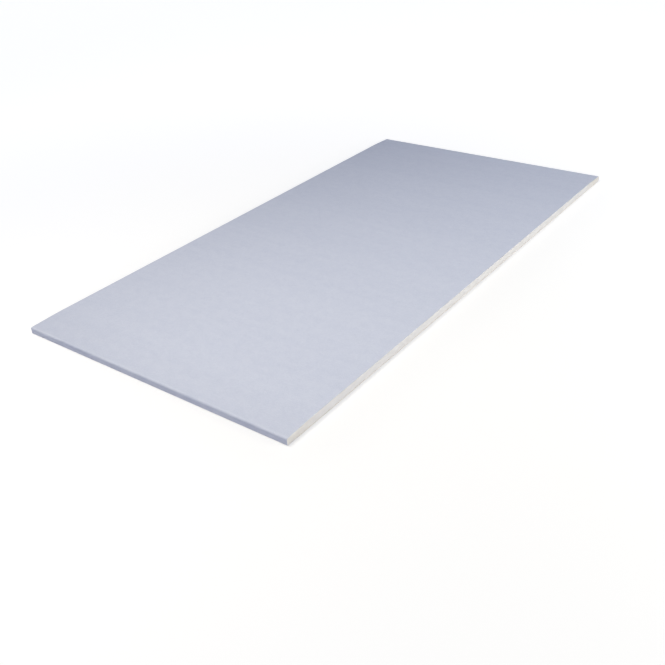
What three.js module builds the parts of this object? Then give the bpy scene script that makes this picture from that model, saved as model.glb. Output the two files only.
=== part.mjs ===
// Drywall sheet: a plasterboard panel with two bound, tapered sides and two cut sides.
// Millimetres, +Z up. The sheet lies on its back, face up. The origin is at the middle of its
// underside. The bound sides are at the two ends of X and the cut sides at the two ends of Y.

import * as THREE from 'three';

// Driving dimensions.
const SHEET_WIDTH = 1200;        // X, from bound side to bound side
const SHEET_LENGTH = 600;        // Y, from cut side to cut side
const SHEET_THICKNESS = 15;      // Z, over the flat middle, both papers included
const BOUND_SIDE_THICKNESS = 13; // Z, where the tapered face meets the bound side
const TAPER_WIDTH = 60;          // how far in from the bound side the face starts to fall
const TAPER_BLEND_RADIUS = 600;  // the soft bend between the flat face and the taper
const FACE_ARRIS_RADIUS = 3;     // where the face turns down over the bound side
const BACK_ARRIS_RADIUS = 1.2;   // where the bound side turns under the back
const FACE_PAPER = 0.3;          // thickness of the face paper
const BACK_PAPER = 0.3;          // thickness of the back paper
const FOLD_WIDTH = 25;           // face paper folded under the back, along each bound side
const BACK_PAPER_SETBACK = 6.5;  // the back paper stops this far short of each bound side

const ARRIS_STEPS = 6;
const BLEND_STEPS = 6;

// Worked out from the dimensions.
const HALF_WIDTH = SHEET_WIDTH / 2;
const TAPER_DEPTH = SHEET_THICKNESS - BOUND_SIDE_THICKNESS;
const TAPER_ANGLE = Math.atan2(TAPER_DEPTH, TAPER_WIDTH);
const FOLD_END = HALF_WIDTH - FOLD_WIDTH;
const UP = Math.PI / 2;

// Points along an arc in the section plane, from one angle to another.
function arc(centre, radius, fromAngle, toAngle, steps) {
  const points = [];
  for (let i = 0; i <= steps; i += 1) {
    const angle = fromAngle + (toAngle - fromAngle) * i / steps;
    const x = centre.x + radius * Math.cos(angle);
    const z = centre.z + radius * Math.sin(angle);
    points.push(new THREE.Vector2(x, z));
  }
  return points;
}

// The section's outline on the +X side, from the end of the fold on the back, round the bound side
// and up the taper to the flat face. The inset is 0 on the outside of the face paper, and the
// paper's thickness on its inside, which is also the skin of the core.
function boundSideOutline(inset) {
  const backArris = {
    x: HALF_WIDTH - BACK_ARRIS_RADIUS,
    z: BACK_PAPER + BACK_ARRIS_RADIUS,
  };
  const faceArris = {
    x: HALF_WIDTH - FACE_ARRIS_RADIUS,
    z: BOUND_SIDE_THICKNESS
      + FACE_ARRIS_RADIUS * (Math.tan(TAPER_ANGLE) - 1 / Math.cos(TAPER_ANGLE)),
  };
  const blend = {
    x: HALF_WIDTH - TAPER_WIDTH - TAPER_BLEND_RADIUS * Math.tan(TAPER_ANGLE / 2),
    z: SHEET_THICKNESS - TAPER_BLEND_RADIUS,
  };
  return [
    new THREE.Vector2(FOLD_END, BACK_PAPER + inset),
    ...arc(backArris, BACK_ARRIS_RADIUS - inset, -UP, 0, ARRIS_STEPS),
    ...arc(faceArris, FACE_ARRIS_RADIUS - inset, 0, UP - TAPER_ANGLE, ARRIS_STEPS),
    ...arc(blend, TAPER_BLEND_RADIUS - inset, UP - TAPER_ANGLE, UP, BLEND_STEPS),
  ];
}

// The same outline carried on over the face and down the -X side.
function wholeOutline(inset) {
  const right = boundSideOutline(inset);
  const left = right.map((point) => new THREE.Vector2(-point.x, point.y)).reverse();
  return [...right, ...left];
}

// A section in X and Z, run through the sheet from one cut side to the other.
function runThroughSheet(name, outline, material) {
  const geometry = new THREE.ExtrudeGeometry(new THREE.Shape(outline), {
    depth: SHEET_LENGTH,
    bevelEnabled: false,
  });
  const mesh = new THREE.Mesh(geometry, material);
  mesh.name = name;
  mesh.rotation.x = UP;
  mesh.position.y = SHEET_LENGTH / 2;
  return mesh;
}

// The cast gypsum. Its underside lies on the back paper, and steps up over the folded face paper.
function gypsumCore() {
  const outline = [
    new THREE.Vector2(-FOLD_END, BACK_PAPER),
    new THREE.Vector2(FOLD_END, BACK_PAPER),
    ...wholeOutline(FACE_PAPER),
  ];
  const material = new THREE.MeshStandardMaterial({
    color: 0xf3f0ee,
    roughness: 0.95,
    metalness: 0,
  });
  return runThroughSheet('gypsum_core', outline, material);
}

// The face paper: one sheet over the face and round both bound sides, with its two folds.
function facePaper() {
  const outline = [
    ...wholeOutline(0),
    ...wholeOutline(FACE_PAPER).reverse(),
  ];
  const material = new THREE.MeshStandardMaterial({
    color: 0xc3c8d8,
    roughness: 0.8,
    metalness: 0,
  });
  return runThroughSheet('face_paper', outline, material);
}

// The back paper: flat, lapped over the folds and stopping just short of the bound sides.
function backPaper() {
  const reach = HALF_WIDTH - BACK_PAPER_SETBACK;
  const outline = [
    new THREE.Vector2(-reach, 0),
    new THREE.Vector2(reach, 0),
    new THREE.Vector2(reach, BACK_PAPER),
    new THREE.Vector2(-reach, BACK_PAPER),
  ];
  const material = new THREE.MeshStandardMaterial({
    color: 0xc5af95,
    roughness: 0.9,
    metalness: 0,
  });
  return runThroughSheet('back_paper', outline, material);
}

const group = new THREE.Group();
group.add(gypsumCore(), facePaper(), backPaper());

export default group;
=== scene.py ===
"""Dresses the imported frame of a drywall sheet.

The sheet is a cast gypsum core between two papers. The face paper covers the face, turns down over
the two bound sides and is folded a little way under the back. The back paper is lapped over those
folds. The other two sides are cut, and show the bare gypsum.
"""

import math

import bmesh
import bpy
from bpy.props import FloatProperty, FloatVectorProperty, IntProperty, PointerProperty
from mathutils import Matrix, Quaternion, Vector, noise


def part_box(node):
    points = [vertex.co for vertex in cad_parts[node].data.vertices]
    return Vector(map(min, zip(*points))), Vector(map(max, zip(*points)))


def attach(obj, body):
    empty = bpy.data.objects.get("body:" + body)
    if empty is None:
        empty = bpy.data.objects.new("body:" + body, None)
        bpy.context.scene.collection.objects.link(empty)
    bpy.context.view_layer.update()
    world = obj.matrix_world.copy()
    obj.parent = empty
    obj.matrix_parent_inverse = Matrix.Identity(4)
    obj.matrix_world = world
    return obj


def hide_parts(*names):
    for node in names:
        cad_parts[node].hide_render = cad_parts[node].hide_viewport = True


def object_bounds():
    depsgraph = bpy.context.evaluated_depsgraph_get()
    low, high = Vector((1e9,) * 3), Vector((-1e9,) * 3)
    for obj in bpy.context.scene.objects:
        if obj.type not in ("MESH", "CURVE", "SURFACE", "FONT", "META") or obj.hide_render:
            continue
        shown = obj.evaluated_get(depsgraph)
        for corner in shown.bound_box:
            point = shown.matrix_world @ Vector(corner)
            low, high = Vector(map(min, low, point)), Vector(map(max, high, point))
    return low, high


bl_info = {
    "name": "Drywall Sheet",
    "version": (1, 0, 0),
    "blender": (4, 5, 0),
    "location": "View3D > Sidebar > Drywall",
    "description": "Models a drywall sheet's core and papers, and lights them in a plain studio",
    "category": "Add Mesh",
}

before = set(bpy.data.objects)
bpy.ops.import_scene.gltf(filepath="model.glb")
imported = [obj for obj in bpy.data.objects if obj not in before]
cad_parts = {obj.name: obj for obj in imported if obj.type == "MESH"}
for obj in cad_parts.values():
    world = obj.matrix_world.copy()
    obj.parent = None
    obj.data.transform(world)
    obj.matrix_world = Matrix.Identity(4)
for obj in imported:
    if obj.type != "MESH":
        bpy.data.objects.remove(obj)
CAD_LOW, CAD_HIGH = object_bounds()
CORE_LOW, CORE_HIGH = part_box("gypsum_core")
BACK_LOW, BACK_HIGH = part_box("back_paper")

BODY = "root"
SKIN = "skin"  # mesh attribute: 1 on gypsum that touches a paper, falling to 0 a little way in
PAPER = BACK_HIGH.z - BACK_LOW.z  # thickness of either paper
SAME_PLACE = 1e-6  # closer than this, two places are one
SMOOTH_ANGLE = math.radians(40)  # faces that meet at less than this are shaded as one curve
QUARTER_TURN = math.pi / 2
ALONG_CUT_TO_CUT = (0.0, 1.0, 0.0)
LONG_FRAY = 0.021  # lengths of the two waves in a paper's frayed edge
SHORT_FRAY = 0.0047
FRAY_SHARE = 0.6  # share of the fray that each of the two waves can make up


# Sizes and colours that a user would change.


def length(name, description, default):
    return FloatProperty(
        name=name, description=description, default=default, unit="LENGTH", precision=5
    )


def colour(name, description, default):
    return FloatVectorProperty(
        name=name, description=description, default=default,
        subtype="COLOR", size=3, min=0.0, max=1.0,
    )


def degrees(name, description, default):
    return FloatProperty(
        name=name, description=description, default=math.radians(default), subtype="ANGLE"
    )


def millimetres(name, description, default):
    return FloatProperty(name=name, description=description, default=default, unit="CAMERA")


def count(name, description, default):
    return IntProperty(name=name, description=description, default=default, min=1)


class DrywallSection(bpy.types.PropertyGroup):
    """The sheet's section, from bound side to bound side."""

    bound_thickness: length("Bound thickness", "Thickness where taper and bound side meet", 0.013)
    taper_width: length("Taper width", "How far in from the bound side the face falls", 0.060)
    taper_blend_radius: length("Taper blend", "Radius of the bend where the taper starts", 0.600)
    face_arris: length("Face arris", "Radius where the face turns down the bound side", 0.0030)
    back_arris: length("Back arris", "Radius where the bound side turns under", 0.0012)
    fold_width: length("Fold width", "Face paper folded under the back", 0.025)


class DrywallRelief(bpy.types.PropertyGroup):
    """Small unevenness of the cut gypsum and of the papers' edges."""

    saw_wander: length("Saw wander", "How far the cut wanders in and out of its plane", 0.00018)
    grain_depth: length("Grain depth", "Depth of the gypsum's grain on the cut", 0.00010)
    chip_depth: length("Chip depth", "Depth of the crumbs lost beside the papers", 0.00045)
    cut_fray: length("Cut fray", "How far a paper's edge falls short of the cut, at most", 0.00020)
    lap_wander: length("Lap wander", "How far the back paper's lapped edge wanders", 0.00050)
    cut_columns: count("Cut columns", "Columns of the mesh along each cut side", 1480)
    cut_rows: count("Cut rows", "Rows of the mesh through the thickness of each cut side", 18)
    paper_columns: count("Paper columns", "Steps of the face paper across the flat face", 420)
    paper_rows: count("Paper rows", "Steps of the face paper from cut side to cut side", 40)


class DrywallFinish(bpy.types.PropertyGroup):
    """Colours of the three materials."""

    face_tint: colour("Face paper", "The face paper", (0.578, 0.610, 0.712))
    face_fibre: colour("Face fibres", "Darker fibres of the face paper", (0.42, 0.45, 0.56))
    back_tint: colour("Back paper", "The back paper", (0.56, 0.43, 0.30))
    back_fibre: colour("Back fibres", "Darker fibres of the back paper", (0.34, 0.22, 0.13))
    gypsum_tint: colour("Gypsum", "The cut gypsum", (0.895, 0.875, 0.855))
    # Darker tone of the gypsum's mottle, saw marks and crumbs, and painted shadow inside its pores
    gypsum_pore_shadow_and_tone: colour("Gypsum pores", "The inside of the gypsum's pores", (0.64, 0.60, 0.55))
    gypsum_skin: colour("Gypsum skin", "Denser gypsum against the papers", (0.86, 0.81, 0.71))


class DrywallStage(bpy.types.PropertyGroup):
    """The floor, the lights and the camera."""

    floor_radius: length("Floor radius", "Radius of the round floor", 30.0)
    camera_place: FloatVectorProperty(
        name="Camera place", description="Where the camera stands",
        default=(-1.3268, -0.9488, 0.7729), subtype="TRANSLATION", unit="LENGTH", size=3,
    )
    camera_heading: degrees("Camera heading", "Way it looks, turned from +X towards +Y", 39.08)
    camera_dip: degrees("Camera dip", "How far it looks down", 30.94)
    camera_roll: degrees("Camera roll", "Turn of the camera about its own view", -3.80)
    sensor_width: millimetres("Sensor width", "Width of the camera's sensor", 36.0)
    focal_length: millimetres("Focal length", "Focal length of the lens", 45.87)
    lens_shift: FloatProperty(
        name="Lens shift", description="Sideways shift, as a share of the frame", default=0.032
    )


def sizes():
    return bpy.context.scene.drywall_section


def relief():
    return bpy.context.scene.drywall_relief


def finish():
    return bpy.context.scene.drywall_finish


def stage():
    return bpy.context.scene.drywall_stage


# The section, worked out from the sizes and the frame.


def taper_angle():
    depth = CAD_HIGH.z - sizes().bound_thickness
    return math.atan2(depth, sizes().taper_width)


def face_arris_centre():
    radius = sizes().face_arris
    drop = radius * (math.tan(taper_angle()) - 1 / math.cos(taper_angle()))
    return Vector((CAD_HIGH.x - radius, 0.0, sizes().bound_thickness + drop))


def back_arris_centre():
    radius = sizes().back_arris
    return Vector((CAD_HIGH.x - radius, 0.0, BACK_HIGH.z + radius))


def blend_centre():
    radius = sizes().taper_blend_radius
    flat_end = CAD_HIGH.x - sizes().taper_width - radius * math.tan(taper_angle() / 2)
    return Vector((flat_end, 0.0, CAD_HIGH.z - radius))


def circle_height(centre, radius, x, side):
    """Height of a circle's upper (side 1) or lower (side -1) half above the place x."""
    reach = min(abs(x - centre.x), radius)
    return centre.z + side * math.sqrt(radius * radius - reach * reach)


def face_height(x, inset):
    """Height of the face at x: flat, bent, sloping down the taper, then round the arris."""
    x = abs(x)
    blend = blend_centre()
    arris = face_arris_centre()
    slope_start = blend.x + sizes().taper_blend_radius * math.sin(taper_angle())
    slope_end = arris.x + sizes().face_arris * math.sin(taper_angle())
    if x <= blend.x:
        return CAD_HIGH.z - inset
    if x <= slope_start:
        return circle_height(blend, sizes().taper_blend_radius - inset, x, 1)
    if x <= slope_end:
        fall = (CAD_HIGH.x - x) * math.tan(taper_angle())
        return sizes().bound_thickness + fall - inset / math.cos(taper_angle())
    return circle_height(arris, sizes().face_arris - inset, x, 1)


def core_underside(x):
    """Height of the core's underside at x: on the back paper, over a fold, then round an arris."""
    arris = back_arris_centre()
    if abs(x) <= CAD_HIGH.x - sizes().fold_width:
        return BACK_HIGH.z
    if abs(x) <= arris.x:
        return BACK_HIGH.z + PAPER
    return circle_height(arris, sizes().back_arris - PAPER, abs(x), -1)


# Meshes.


def finish_piece(bm, name, node, material, rounded=False):
    """Makes the bmesh an object that replaces a CAD node and takes its finish from the slot."""
    mesh = bpy.data.meshes.new(name)
    bm.to_mesh(mesh)
    bm.free()
    if rounded:
        mesh.shade_smooth()
        mesh.set_sharp_from_angle(angle=SMOOTH_ANGLE)
    mesh.materials.append(material)
    piece = bpy.data.objects.new(name, mesh)
    bpy.context.scene.collection.objects.link(piece)
    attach(piece, BODY)
    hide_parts(node)


def ripple(x, y, wavelength, seed):
    """Smooth noise from -1 to 1 at a place on the sheet."""
    return noise.noise(Vector((x / wavelength, y / wavelength, seed)))


def end_side(y):
    """-1 at the front cut side, 1 at the rear one, 0 between them."""
    if abs(abs(y) - CAD_HIGH.y) > SAME_PLACE:
        return 0
    return math.copysign(1, y)


def fray_cut_edges(bm, seed):
    """Draws a paper's two cut edges back by a small amount, uneven in long and in short waves."""
    for vert in bm.verts:
        side = end_side(vert.co.y)
        if side:
            long_wave = FRAY_SHARE * ripple(vert.co.x, side, LONG_FRAY, seed)
            short_wave = FRAY_SHARE * ripple(vert.co.x, side, SHORT_FRAY, seed)
            vert.co.y -= side * relief().cut_fray * min(1.0, abs(long_wave + short_wave))


def carry_edge(bm, edges, move, steps):
    """Sweeps a line of edges along a straight stretch, and returns the line where it ends."""
    for _ in range(steps):
        swept = bmesh.ops.extrude_edge_only(bm, edges=edges)["geom"]
        verts = [part for part in swept if isinstance(part, bmesh.types.BMVert)]
        edges = [part for part in swept if isinstance(part, bmesh.types.BMEdge)]
        bmesh.ops.translate(bm, verts=verts, vec=move / steps)
    return edges


def turn_edge(bm, edges, centre, angle, steps):
    """Sweeps a line of edges round an axis along Y, and returns the line where it ends."""
    verts = dict.fromkeys(vert for edge in edges for vert in edge.verts)  # once each, in order
    line = [*edges, *verts]
    swept = bmesh.ops.spin(
        bm, geom=line, cent=centre, axis=ALONG_CUT_TO_CUT, angle=angle, steps=steps,
        use_duplicate=False,
    )
    return [part for part in swept["geom_last"] if isinstance(part, bmesh.types.BMEdge)]


# Shader nodes.


def rgba(tint):
    return (*tint, 1.0)


def add_node(tree, kind, inputs=None, **settings):
    """Adds a node with its settings, and fills its inputs with values or other nodes' outputs."""
    node = tree.nodes.new(kind)
    for setting, value in settings.items():
        setattr(node, setting, value)
    for socket, value in (inputs or {}).items():
        if isinstance(value, bpy.types.NodeSocket):
            tree.links.new(value, node.inputs[socket])
        else:
            node.inputs[socket].default_value = value
    return node


def calculate(tree, operation, first, second=0.0):
    return add_node(tree, "ShaderNodeMath", {0: first, 1: second}, operation=operation).outputs[0]


def blend(tree, share, first, second):
    """Mixes two colours by a share from 0 to 1."""
    inputs = {0: share, 6: first, 7: second}
    return add_node(tree, "ShaderNodeMix", inputs, data_type="RGBA").outputs[2]


def remap(tree, value, start, end, to_start=0.0, to_end=1.0):
    """Eases a value from one range to another, and holds it at the ends."""
    inputs = {
        "Value": value, "From Min": start, "From Max": end, "To Min": to_start, "To Max": to_end
    }
    node = add_node(tree, "ShaderNodeMapRange", inputs, interpolation_type="SMOOTHSTEP")
    return node.outputs["Result"]


def coat(tree, under, tint, mask, share, span=(0.0, 1.0)):
    """Lays a tint over a colour, up to the given share, as a mask rises through the span."""
    return blend(tree, remap(tree, mask, *span, to_end=share), under, tint)


def object_place(tree):
    return add_node(tree, "ShaderNodeTexCoord").outputs["Object"]


def stretched(tree, size, turn=0.0):
    """Object coordinates turned about Z, then counted in steps of a size along each axis."""
    inputs = {"Vector": object_place(tree), "Rotation": (0.0, 0.0, turn), "Scale": size}
    return add_node(tree, "ShaderNodeMapping", inputs, vector_type="TEXTURE").outputs["Vector"]


def cloud(tree, size, detail, turn=0.0, roughness=0.55):
    """Smooth noise from 0 to 1, with lumps of about the given size along each axis."""
    place = stretched(tree, size, turn)
    inputs = {"Vector": place, "Scale": 1.0, "Detail": detail, "Roughness": roughness}
    return add_node(tree, "ShaderNodeTexNoise", inputs).outputs["Fac"]


def fibre_lines(tree, spacing, stretch, turn, width):
    """Thin wandering lines, turned so many degrees from Y: 1 on a fibre and 0 beside it."""
    size = (spacing, spacing * stretch, spacing)
    field = cloud(tree, size, detail=1.5, turn=math.radians(turn))
    off_line = calculate(tree, "ABSOLUTE", calculate(tree, "SUBTRACT", field, 0.5))
    return remap(tree, off_line, 0.0, width, 1.0, 0.0)


def roughened(tree, size, amount):
    """Object coordinates pushed about by noise of the given size, to break up round shapes."""
    inputs = {"Vector": stretched(tree, (size, size, size)), "Scale": 1.0, "Detail": 2.0}
    push = add_node(tree, "ShaderNodeTexNoise", inputs).outputs["Color"]
    inputs = {0: push, 1: (0.5, 0.5, 0.5)}
    centred = add_node(tree, "ShaderNodeVectorMath", inputs, operation="SUBTRACT")
    inputs = {0: centred.outputs[0], "Scale": 2 * amount}
    scaled = add_node(tree, "ShaderNodeVectorMath", inputs, operation="SCALE")
    inputs = {0: object_place(tree), 1: scaled.outputs[0]}
    return add_node(tree, "ShaderNodeVectorMath", inputs, operation="ADD").outputs[0]


def spots(tree, spacing, radius, share, place=None):
    """Spots up to a radius, in some cells of a random grid: 0 outside, rising to 1 well inside."""
    steps = {"Vector": place or object_place(tree), "Scale": (spacing, spacing, spacing)}
    mapped = add_node(tree, "ShaderNodeMapping", steps, vector_type="TEXTURE").outputs["Vector"]
    cells = add_node(tree, "ShaderNodeTexVoronoi", {"Vector": mapped, "Scale": 1.0})
    draws = add_node(tree, "ShaderNodeSeparateColor", {"Color": cells.outputs["Color"]})
    largest = radius / spacing
    smallest = 0.35 * largest
    reach = remap(tree, draws.outputs["Green"], 0.0, 1.0, smallest, largest)
    chosen = calculate(tree, "LESS_THAN", draws.outputs["Red"], share)
    chosen_reach = calculate(tree, "MULTIPLY", chosen, reach)
    inside = calculate(tree, "SUBTRACT", chosen_reach, cells.outputs["Distance"])
    return remap(tree, inside, 0.0, 0.8 * largest)


def near_sides(tree, axis, half_width, near, far):
    """1 within the near distance of the two sides across an axis, easing to 0 at the far one."""
    place = add_node(tree, "ShaderNodeSeparateXYZ", {"Vector": object_place(tree)}).outputs[axis]
    distance = calculate(tree, "SUBTRACT", half_width, calculate(tree, "ABSOLUTE", place))
    return remap(tree, distance, near, far, 1.0, 0.0)


def bump(tree, height, depth, strength, below=None):
    """Relief of the given depth, on top of another bump's where there is one below."""
    inputs = {"Height": height, "Distance": depth, "Strength": strength}
    if below is not None:
        inputs["Normal"] = below
    return add_node(tree, "ShaderNodeBump", inputs).outputs["Normal"]


def seen_directly(tree):
    """1 where the camera sees a surface itself, and 0 where the surface only lights others."""
    return add_node(tree, "ShaderNodeLightPath").outputs["Is Camera Ray"]


def new_material(name, specular):
    material = bpy.data.materials.new(name)
    material.use_nodes = True
    shader = material.node_tree.nodes["Principled BSDF"]
    shader.inputs["Specular IOR Level"].default_value = specular
    return material, material.node_tree, shader


def paler(tint, whiteness):
    """A tint moved towards white by the given share."""
    return rgba([whiteness + (1 - whiteness) * channel for channel in tint])


# Materials.


def paper_weave(tree, spacing):
    """Fibres lying mostly along the sheet's run, in three crossing directions."""
    along = fibre_lines(tree, spacing, stretch=7.0, turn=4, width=0.036)
    left = fibre_lines(tree, spacing * 1.2, stretch=6.0, turn=31, width=0.032)
    right = fibre_lines(tree, spacing * 1.1, stretch=6.0, turn=-27, width=0.032)
    return calculate(tree, "MAXIMUM", along, calculate(tree, "MAXIMUM", left, right))


def face_paper_material():
    """Smooth lining paper: faint clouds, fine fibres, paler raised fibres along the cuts, and
    along the arrises paler raised fibres that are also a painted highlight.
    """
    material, tree, shader = new_material("face_paper", specular=0.25)
    dark_fibres = paper_weave(tree, spacing=0.0015)
    pale_fibres = fibre_lines(tree, spacing=0.0016, stretch=6.0, turn=-9, width=0.032)
    felt = cloud(tree, (0.0022, 0.0032, 0.0022), detail=6.0, roughness=0.65)
    formation = cloud(tree, (0.014, 0.021, 0.014), detail=5.0)
    streaks = cloud(tree, (0.028, 0.90, 0.028), detail=3.0)
    flecks = spots(tree, spacing=0.010, radius=0.00040, share=0.45)

    tint = rgba(finish().face_tint)
    dark = rgba(finish().face_fibre)
    pale = paler(finish().face_tint, whiteness=0.45)
    paint = coat(tree, tint, dark, felt, share=0.22, span=(0.25, 0.75))
    paint = coat(tree, paint, dark, dark_fibres, share=0.26)
    paint = coat(tree, paint, pale, pale_fibres, share=0.17)
    paint = coat(tree, paint, pale, formation, share=0.13, span=(0.3, 0.7))
    paint = coat(tree, paint, pale, streaks, share=0.06, span=(0.3, 0.7))
    paint = coat(tree, paint, dark, flecks, share=0.45)
    # Along the arrises the paler raised fibres are partly worn paper and partly a painted
    # highlight of the turned edge.
    arris_nap_and_highlight = near_sides(tree, "X", CAD_HIGH.x, near=0.0010, far=0.0065)
    cut_nap = near_sides(tree, "Y", CAD_HIGH.y, near=0.0002, far=0.0016)
    nap_and_arris_highlight = calculate(tree, "MAXIMUM", arris_nap_and_highlight, cut_nap)
    wear_and_highlight_patches = cloud(tree, (0.030, 0.060, 0.030), detail=4.0)
    rubbed_and_highlight = remap(tree, wear_and_highlight_patches, 0.35, 0.65, to_start=0.06, to_end=0.34)
    paint = blend(tree, calculate(tree, "MULTIPLY", nap_and_arris_highlight, rubbed_and_highlight), paint, pale)
    tree.links.new(paint, shader.inputs["Base Color"])

    dullness = remap(tree, formation, 0.3, 0.7, to_start=0.66, to_end=0.80)
    tree.links.new(dullness, shader.inputs["Roughness"])
    waves = cloud(tree, (0.06, 0.35, 0.06), detail=2.0)
    grain = cloud(tree, (0.00016, 0.00024, 0.00016), detail=2.0)
    rolled = bump(tree, waves, depth=0.00025, strength=0.5)
    felted = bump(tree, felt, depth=0.00010, strength=0.5, below=rolled)
    fibrous = bump(tree, dark_fibres, depth=0.00005, strength=0.5, below=felted)
    grained = bump(tree, grain, depth=0.00003, strength=0.5, below=fibrous)
    tree.links.new(grained, shader.inputs["Normal"])
    return material


def back_paper_material():
    """Brown kraft paper: strong clouds, long loose fibres and a few dark flecks."""
    material, tree, shader = new_material("back_paper", specular=0.2)
    dark_fibres = paper_weave(tree, spacing=0.0017)
    pale_fibres = fibre_lines(tree, spacing=0.0021, stretch=6.0, turn=12, width=0.038)
    felt = cloud(tree, (0.0026, 0.0042, 0.0026), detail=6.0, roughness=0.65)
    formation = cloud(tree, (0.009, 0.015, 0.009), detail=6.0, roughness=0.62)
    streaks = cloud(tree, (0.035, 0.80, 0.035), detail=3.0)
    flecks = spots(tree, spacing=0.008, radius=0.00045, share=0.5)
    lap = near_sides(tree, "X", BACK_HIGH.x, near=0.0008, far=0.0040)

    tint = rgba(finish().back_tint)
    dark = rgba(finish().back_fibre)
    pale = paler(finish().back_tint, whiteness=0.30)
    paint = coat(tree, tint, dark, felt, share=0.20, span=(0.25, 0.75))
    paint = coat(tree, paint, dark, dark_fibres, share=0.30)
    paint = coat(tree, paint, pale, pale_fibres, share=0.26)
    paint = coat(tree, paint, pale, formation, share=0.26, span=(0.25, 0.75))
    paint = coat(tree, paint, dark, streaks, share=0.12, span=(0.3, 0.7))
    paint = coat(tree, paint, dark, flecks, share=0.6)
    paint = coat(tree, paint, dark, lap, share=0.18)
    tree.links.new(paint, shader.inputs["Base Color"])

    dullness = remap(tree, formation, 0.3, 0.7, to_start=0.76, to_end=0.9)
    tree.links.new(dullness, shader.inputs["Roughness"])
    waves = cloud(tree, (0.05, 0.11, 0.05), detail=2.0)
    grain = cloud(tree, (0.00020, 0.00032, 0.00020), detail=2.0)
    cockled = bump(tree, waves, depth=0.00035, strength=0.5)
    felted = bump(tree, felt, depth=0.00014, strength=0.6, below=cockled)
    fibrous = bump(tree, dark_fibres, depth=0.00007, strength=0.6, below=felted)
    grained = bump(tree, grain, depth=0.00004, strength=0.6, below=fibrous)
    tree.links.new(grained, shader.inputs["Normal"])
    return material


def gypsum_material():
    """Cast gypsum, cut through: chalky and full of small air pores, denser and creamier at the
    papers, and creamier and darker towards the bound sides."""
    material, tree, shader = new_material("gypsum", specular=0.15)
    shader.inputs["Roughness"].default_value = 0.95
    place = roughened(tree, size=0.0009, amount=0.00022)
    large = spots(tree, spacing=0.0030, radius=0.00070, share=0.35, place=place)
    middling = spots(tree, spacing=0.0013, radius=0.00036, share=0.6, place=place)
    small = spots(tree, spacing=0.0007, radius=0.00020, share=0.8, place=place)
    pores = calculate(tree, "MAXIMUM", calculate(tree, "MAXIMUM", large, middling), small)
    near_paper = add_node(tree, "ShaderNodeAttribute", attribute_name=SKIN).outputs["Fac"]
    open_share = remap(tree, near_paper, 0.2, 0.9, to_start=1.0, to_end=0.15)
    open_pores = calculate(tree, "MULTIPLY", pores, open_share)
    # Creamier and darker gypsum towards the bound sides, easing out over about 0.11 m.
    cream_towards_bound_sides = near_sides(tree, "X", CORE_HIGH.x, near=0.004, far=0.110)
    saw_marks = cloud(tree, (0.0012, 0.0012, 0.030), detail=4.0)
    mottle = cloud(tree, (0.014, 0.014, 0.006), detail=5.0)
    crumb = cloud(tree, (0.0008, 0.0008, 0.0008), detail=5.0, roughness=0.7)

    tint = rgba(finish().gypsum_tint)
    pore_shadow_and_tone = rgba(finish().gypsum_pore_shadow_and_tone)
    skin = rgba(finish().gypsum_skin)
    paint = coat(tree, tint, pore_shadow_and_tone, mottle, share=0.10, span=(0.3, 0.7))
    paint = coat(tree, paint, pore_shadow_and_tone, saw_marks, share=0.10, span=(0.35, 0.65))
    paint = coat(tree, paint, pore_shadow_and_tone, crumb, share=0.16, span=(0.4, 0.75))
    # The pores are darkened as painted shadow in their hollows.
    paint = coat(tree, paint, pore_shadow_and_tone, open_pores, share=0.62, span=(0.0, 0.7))
    paint = coat(tree, paint, skin, cream_towards_bound_sides, share=0.55)
    paint = coat(tree, paint, skin, near_paper, share=0.8)
    tree.links.new(paint, shader.inputs["Base Color"])

    solid = calculate(tree, "SUBTRACT", 1.0, open_pores)
    pitted = bump(tree, solid, depth=0.00036, strength=0.7)
    sawn = bump(tree, saw_marks, depth=0.00020, strength=0.6, below=pitted)
    crumbly = bump(tree, crumb, depth=0.00030, strength=0.7, below=sawn)
    tree.links.new(crumbly, shader.inputs["Normal"])
    return material


FLOOR_GREY = (0.46, 0.46, 0.46, 1.0)
GLOW_TINT = (1.0, 0.995, 0.985, 1.0)
GLOW_LEAST, GLOW_MOST = 0.545, 0.890
LEAST_GLOW_PLACE = (-0.32, -0.34, 0.0)
LEAST_GLOW_REACH, MOST_GLOW_REACH = 0.15, 2.09  # distances from that place


def floor_material():
    """A pale floor, which a glow keeps pale away from the lights. The glow lights nothing else."""
    material, tree, shader = new_material("floor", specular=0.1)
    shader.inputs["Roughness"].default_value = 0.9
    shader.inputs["Base Color"].default_value = FLOOR_GREY
    shader.inputs["Emission Color"].default_value = GLOW_TINT
    inputs = {0: object_place(tree), 1: LEAST_GLOW_PLACE}
    away = add_node(tree, "ShaderNodeVectorMath", inputs, operation="DISTANCE").outputs["Value"]
    glow = remap(tree, away, LEAST_GLOW_REACH, MOST_GLOW_REACH, GLOW_LEAST, GLOW_MOST)
    shown = calculate(tree, "MULTIPLY", glow, seen_directly(tree))
    tree.links.new(shown, shader.inputs["Emission Strength"])
    return material


# Pieces.


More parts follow.
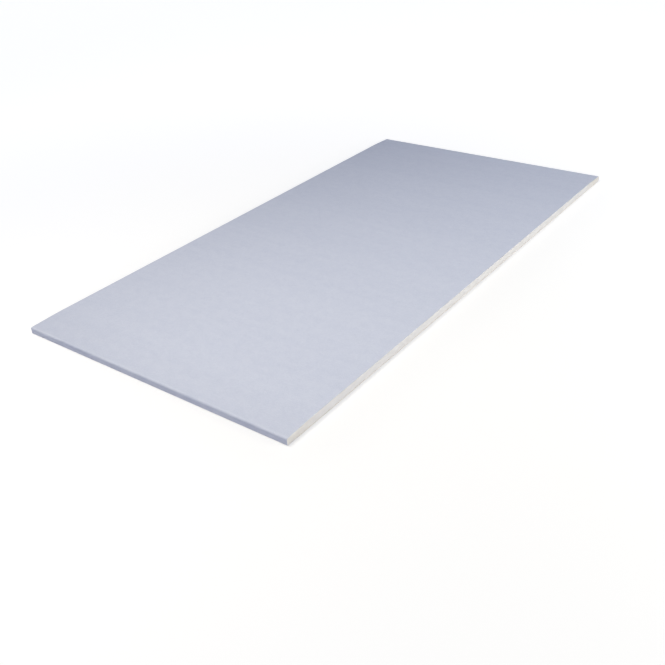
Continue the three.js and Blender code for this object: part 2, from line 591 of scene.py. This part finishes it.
class DRYWALL_OT_gypsum_core(bpy.types.Operator):
    """Model the cast core, with the relief of its two cut sides"""

    bl_idname = "drywall.gypsum_core"
    bl_label = "Gypsum Core"

    ARRIS_COLUMNS = 8
    SKIN_DEPTH = 0.0013  # how far the denser gypsum reaches in from a paper
    CRUMB_REACH = 0.0016  # how far from a paper crumbs are lost
    WANDER_LENGTH = 0.080
    GRAIN_LENGTH, GRAIN_SEED = 0.0022, 5
    CRUMB_LENGTH, CRUMB_SEED = 0.0085, 9
    CRUMBLES_ABOVE = 0.25  # crumbs are lost only where their ripple is higher than this

    def column_place(self, column):
        """X of a column of the cut side: even over the middle, and closer round each arris."""
        last = relief().cut_columns
        radius = sizes().face_arris - PAPER
        inner = CORE_HIGH.x - radius
        from_end = min(column, last - column)
        if from_end < self.ARRIS_COLUMNS:
            place = inner + radius * math.cos(QUARTER_TURN * from_end / self.ARRIS_COLUMNS)
            return math.copysign(place, column - last / 2)
        even = (column - self.ARRIS_COLUMNS) / (last - 2 * self.ARRIS_COLUMNS)
        return inner * (2 * even - 1)

    def to_paper(self, place):
        """Distance to the nearest paper, above, below or at the bound side."""
        above = face_height(place.x, PAPER) - place.z
        below = place.z - core_underside(place.x)
        return min(above, below, CORE_HIGH.x - abs(place.x))

    def cut_depth(self, place, side):
        """How far the cut lies inside its plane: wander, grain, and crumbs lost by the papers."""
        wander = 0.5 + 0.5 * ripple(place.x, place.z, self.WANDER_LENGTH, side)
        grain = 0.5 + 0.5 * ripple(place.x, place.z, self.GRAIN_LENGTH, self.GRAIN_SEED + side)
        crumb = ripple(place.x, place.z, self.CRUMB_LENGTH, self.CRUMB_SEED + side)
        crumbled = max(0.0, crumb - self.CRUMBLES_ABOVE)
        beside_paper = max(0.0, 1 - self.to_paper(place) / self.CRUMB_REACH)
        depth = relief().saw_wander * wander + relief().grain_depth * grain
        return depth + relief().chip_depth * beside_paper * crumbled

    def execute(self, context):
        bm = bmesh.new()
        columns, rows = relief().cut_columns, relief().cut_rows
        bmesh.ops.create_grid(bm, x_segments=columns, y_segments=rows, size=0.5)
        for vert in bm.verts:
            x = self.column_place(round((vert.co.x + 0.5) * columns))
            even = vert.co.y + 0.5
            eased = 0.5 + 0.5 * math.sin(math.pi * vert.co.y)
            share = 0.5 * even + 0.5 * eased  # rows lie closer together beside the papers
            low, high = core_underside(x), face_height(x, PAPER)
            vert.co = (x, CORE_LOW.y, low + share * (high - low))
        front = bm.faces[:]
        swept = bmesh.ops.extrude_face_region(bm, geom=front, use_keep_orig=True)["geom"]
        rear = [part for part in swept if isinstance(part, bmesh.types.BMVert)]
        bmesh.ops.translate(bm, verts=rear, vec=(0.0, CORE_HIGH.y - CORE_LOW.y, 0.0))
        bmesh.ops.recalc_face_normals(bm, faces=bm.faces)
        skin = bm.verts.layers.float.new(SKIN)
        for vert in bm.verts:
            side = end_side(vert.co.y)
            vert[skin] = max(0.0, 1 - self.to_paper(vert.co) / self.SKIN_DEPTH)
            vert.co.y -= side * self.cut_depth(vert.co, side)
        finish_piece(bm, "cast_gypsum", "gypsum_core", gypsum_material(), rounded=True)
        return {"FINISHED"}


class DRYWALL_OT_face_paper(bpy.types.Operator):
    """Run the face paper from its fold, round the bound side and over the face"""

    bl_idname = "drywall.face_paper"
    bl_label = "Face Paper"

    FOLD_STEPS = 5
    SIDE_STEPS = 5
    ARRIS_STEPS = 10
    TAPER_STEPS = 24
    FRAY_SEED = 21

    def sweep_outside(self, bm):
        """Sweeps the paper's outside from the end of a fold to the middle of the face."""
        angle = taper_angle()
        back_arris, face_arris, bend = back_arris_centre(), face_arris_centre(), blend_centre()
        slope = Vector((math.sin(angle), 0.0, math.cos(angle)))
        fold_end = CAD_HIGH.x - sizes().fold_width
        fold = Vector((back_arris.x - fold_end, 0.0, 0.0))
        side = Vector((0.0, 0.0, face_arris.z - back_arris.z))
        taper_end = bend + sizes().taper_blend_radius * slope
        taper = taper_end - (face_arris + sizes().face_arris * slope)
        flat = Vector((-bend.x, 0.0, 0.0))

        ends = [bm.verts.new((fold_end, y, BACK_HIGH.z)) for y in (CAD_LOW.y, CAD_HIGH.y)]
        edge = bm.edges.new(ends)
        bmesh.ops.subdivide_edges(bm, edges=[edge], cuts=relief().paper_rows - 1)
        line = carry_edge(bm, bm.edges[:], fold, self.FOLD_STEPS)
        line = turn_edge(bm, line, back_arris, -QUARTER_TURN, self.ARRIS_STEPS)
        line = carry_edge(bm, line, side, self.SIDE_STEPS)
        line = turn_edge(bm, line, face_arris, angle - QUARTER_TURN, self.ARRIS_STEPS)
        line = carry_edge(bm, line, taper, self.TAPER_STEPS)
        line = turn_edge(bm, line, bend, -angle, self.ARRIS_STEPS)
        carry_edge(bm, line, flat, relief().paper_columns // 2)

    def execute(self, context):
        bm = bmesh.new()
        self.sweep_outside(bm)
        half = bm.verts[:] + bm.edges[:] + bm.faces[:]
        bmesh.ops.mirror(bm, geom=half, merge_dist=SAME_PLACE, axis="X")
        bmesh.ops.remove_doubles(bm, verts=bm.verts, dist=SAME_PLACE)
        bmesh.ops.recalc_face_normals(bm, faces=bm.faces)
        highest = max(bm.faces, key=lambda face: face.calc_center_median().z)
        if highest.normal.z < 0:
            bmesh.ops.reverse_faces(bm, faces=bm.faces)
        fray_cut_edges(bm, self.FRAY_SEED)
        bmesh.ops.solidify(bm, geom=bm.faces, thickness=PAPER)
        material = face_paper_material()
        finish_piece(bm, "face_lining", "face_paper", material, rounded=True)
        return {"FINISHED"}


class DRYWALL_OT_back_paper(bpy.types.Operator):
    """Lay the back paper over the folds, with its lapped edges wandering a little"""

    bl_idname = "drywall.back_paper"
    bl_label = "Back Paper"

    COLUMNS = 240
    ROWS = 80
    FRAY_SEED = 37
    LONG_WAVE, LONG_SEED = 0.110, 31
    SHORT_WAVE, SHORT_SEED, SHORT_SHARE = 0.017, 33, 0.3

    def lap_wave(self, side, y):
        """How far the lapped edge wanders at y, in long waves with short ones on them."""
        long_wave = ripple(side, y, self.LONG_WAVE, self.LONG_SEED)
        return long_wave + self.SHORT_SHARE * ripple(side, y, self.SHORT_WAVE, self.SHORT_SEED)

    def execute(self, context):
        bm = bmesh.new()
        bmesh.ops.create_grid(bm, x_segments=self.COLUMNS, y_segments=self.ROWS, size=1.0)
        bmesh.ops.scale(bm, verts=bm.verts, vec=(BACK_HIGH.x, BACK_HIGH.y, 1.0))
        bmesh.ops.translate(bm, verts=bm.verts, vec=(0.0, 0.0, BACK_LOW.z))
        for vert in bm.verts:
            if abs(abs(vert.co.x) - BACK_HIGH.x) < SAME_PLACE:
                side = math.copysign(1, vert.co.x)
                vert.co.x += side * relief().lap_wander * self.lap_wave(side, vert.co.y)
        fray_cut_edges(bm, self.FRAY_SEED)
        swept = bmesh.ops.extrude_face_region(bm, geom=bm.faces[:], use_keep_orig=True)["geom"]
        upper = [part for part in swept if isinstance(part, bmesh.types.BMVert)]
        bmesh.ops.translate(bm, verts=upper, vec=(0.0, 0.0, PAPER))
        bmesh.ops.recalc_face_normals(bm, faces=bm.faces)
        finish_piece(bm, "back_lining", "back_paper", back_paper_material())
        return {"FINISHED"}


class DRYWALL_OT_stage(bpy.types.Operator):
    """Lay the floor, hang the lights and place the camera"""

    bl_idname = "drywall.stage"
    bl_label = "Studio"

    FLOOR_SIDES = 128
    SOFTBOX_SIZE = 0.6
    SOFTBOXES = (  # name, place, aim, power, tint
        ("softbox_over", (-0.67, 0.24, 1.43), (-0.40, -0.98, 0.0), 19.93, (1.0, 0.942, 0.815)),
        ("softbox_side", (0.50, -0.60, 1.12), (0.82, -0.51, 0.0), 2.51, (0.956, 0.976, 1.0)),
        ("softbox_low", (0.15, -1.80, 0.62), (0.10, -0.30, 0.0), 12.00, (1.0, 0.974, 0.818)),
    )
    REARWARD = (0.64, 0.77, 0.0)  # level, and roughly away from the camera
    REAR_FULL = 0.9  # cosine of the angle from rearward at which the rear light is full
    FRONT_LIGHT = (2.83, 2.81, 3.12, 1.0)
    REAR_LIGHT = (7.5, 7.5, 7.88, 1.0)
    CEILING_LIGHT = (0.010, 0.046, 0.135, 1.0)
    CEILING_START = math.radians(18)  # how far above the horizon the ceiling begins
    GROUND_LIGHT = (0.45, 0.45, 0.45, 1.0)
    GROUND_FADE = 0.03  # height below the horizon over which the ground fades in
    BACKDROP = (1.0, 1.0, 1.0, 1.0)

    def lay_floor(self):
        bm = bmesh.new()
        radius = stage().floor_radius
        bmesh.ops.create_circle(bm, cap_ends=True, segments=self.FLOOR_SIDES, radius=radius)
        mesh = bpy.data.meshes.new("floor")
        bm.to_mesh(mesh)
        bm.free()
        mesh.materials.append(floor_material())
        floor = bpy.data.objects.new("floor", mesh)
        bpy.context.scene.collection.objects.link(floor)

    def light_room(self):
        """Soft light from low down all round, a dimmer ceiling, and a plain white backdrop."""
        world = bpy.data.worlds.new("studio")
        world.use_nodes = True
        tree = world.node_tree
        direction = add_node(tree, "ShaderNodeTexCoord").outputs["Generated"]
        height = add_node(tree, "ShaderNodeSeparateXYZ", {"Vector": direction}).outputs["Z"]
        inputs = {0: direction, 1: self.REARWARD}
        behind = add_node(tree, "ShaderNodeVectorMath", inputs, operation="DOT_PRODUCT")
        rear = remap(tree, behind.outputs["Value"], 0.0, self.REAR_FULL)
        low_light = blend(tree, rear, self.FRONT_LIGHT, self.REAR_LIGHT)
        overhead = remap(tree, height, 0.0, math.sin(self.CEILING_START))
        light = blend(tree, overhead, low_light, self.CEILING_LIGHT)
        above_ground = remap(tree, height, -self.GROUND_FADE, 0.0)
        light = blend(tree, above_ground, self.GROUND_LIGHT, light)
        shown = blend(tree, seen_directly(tree), light, self.BACKDROP)
        tree.links.new(shown, tree.nodes["Background"].inputs["Color"])
        bpy.context.scene.world = world

    def hang_softbox(self, name, place, aim, power, tint):
        light = bpy.data.lights.new(name, "AREA")
        light.shape = "SQUARE"
        light.size = self.SOFTBOX_SIZE
        light.energy = power
        light.color = tint
        softbox = bpy.data.objects.new(name, light)
        softbox.location = place
        softbox.rotation_mode = "QUATERNION"
        softbox.rotation_quaternion = (Vector(aim) - Vector(place)).to_track_quat("-Z", "Y")
        softbox.visible_camera = False
        bpy.context.scene.collection.objects.link(softbox)

    def place_camera(self):
        settings = stage()
        lens = bpy.data.cameras.new("camera")
        lens.sensor_width = settings.sensor_width
        lens.lens = settings.focal_length
        lens.shift_x = settings.lens_shift
        camera = bpy.data.objects.new("camera", lens)
        level = math.cos(settings.camera_dip)
        view = Vector((
            math.cos(settings.camera_heading) * level,
            math.sin(settings.camera_heading) * level,
            -math.sin(settings.camera_dip),
        ))
        camera.location = settings.camera_place
        camera.rotation_mode = "QUATERNION"
        roll = Quaternion((0.0, 0.0, 1.0), settings.camera_roll)
        camera.rotation_quaternion = view.to_track_quat("-Z", "Y") @ roll
        bpy.context.scene.collection.objects.link(camera)
        bpy.context.scene.camera = camera

    def execute(self, context):
        self.lay_floor()
        self.light_room()
        for softbox in self.SOFTBOXES:
            self.hang_softbox(*softbox)
        self.place_camera()
        context.scene.view_settings.view_transform = "Standard"
        return {"FINISHED"}


class DRYWALL_PT_sheet(bpy.types.Panel):
    """Lists the pieces of the sheet, its sizes and its colours"""

    bl_idname = "DRYWALL_PT_sheet"
    bl_label = "Drywall Sheet"
    bl_space_type = "VIEW_3D"
    bl_region_type = "UI"
    bl_category = "Drywall"

    def draw(self, context):
        layout = self.layout
        for step in STEPS:
            layout.operator(step.bl_idname)
        for group in (sizes(), relief(), finish(), stage()):
            box = layout.box()
            for name in group.bl_rna.properties.keys():
                if name not in ("rna_type", "name"):
                    box.prop(group, name)


GROUPS = {
    "drywall_section": DrywallSection,
    "drywall_relief": DrywallRelief,
    "drywall_finish": DrywallFinish,
    "drywall_stage": DrywallStage,
}
STEPS = (DRYWALL_OT_gypsum_core, DRYWALL_OT_face_paper, DRYWALL_OT_back_paper, DRYWALL_OT_stage)


def register():
    for cls in (*GROUPS.values(), *STEPS, DRYWALL_PT_sheet):
        bpy.utils.register_class(cls)
    for name, group in GROUPS.items():
        setattr(bpy.types.Scene, name, PointerProperty(type=group))


def unregister():
    for name in GROUPS:
        delattr(bpy.types.Scene, name)
    for cls in (DRYWALL_PT_sheet, *reversed(STEPS), *reversed(GROUPS.values())):
        bpy.utils.unregister_class(cls)


def main():
    register()
    bpy.ops.drywall.gypsum_core()
    bpy.ops.drywall.face_paper()
    bpy.ops.drywall.back_paper()
    bpy.ops.drywall.stage()


if __name__ == "__main__":
    main()
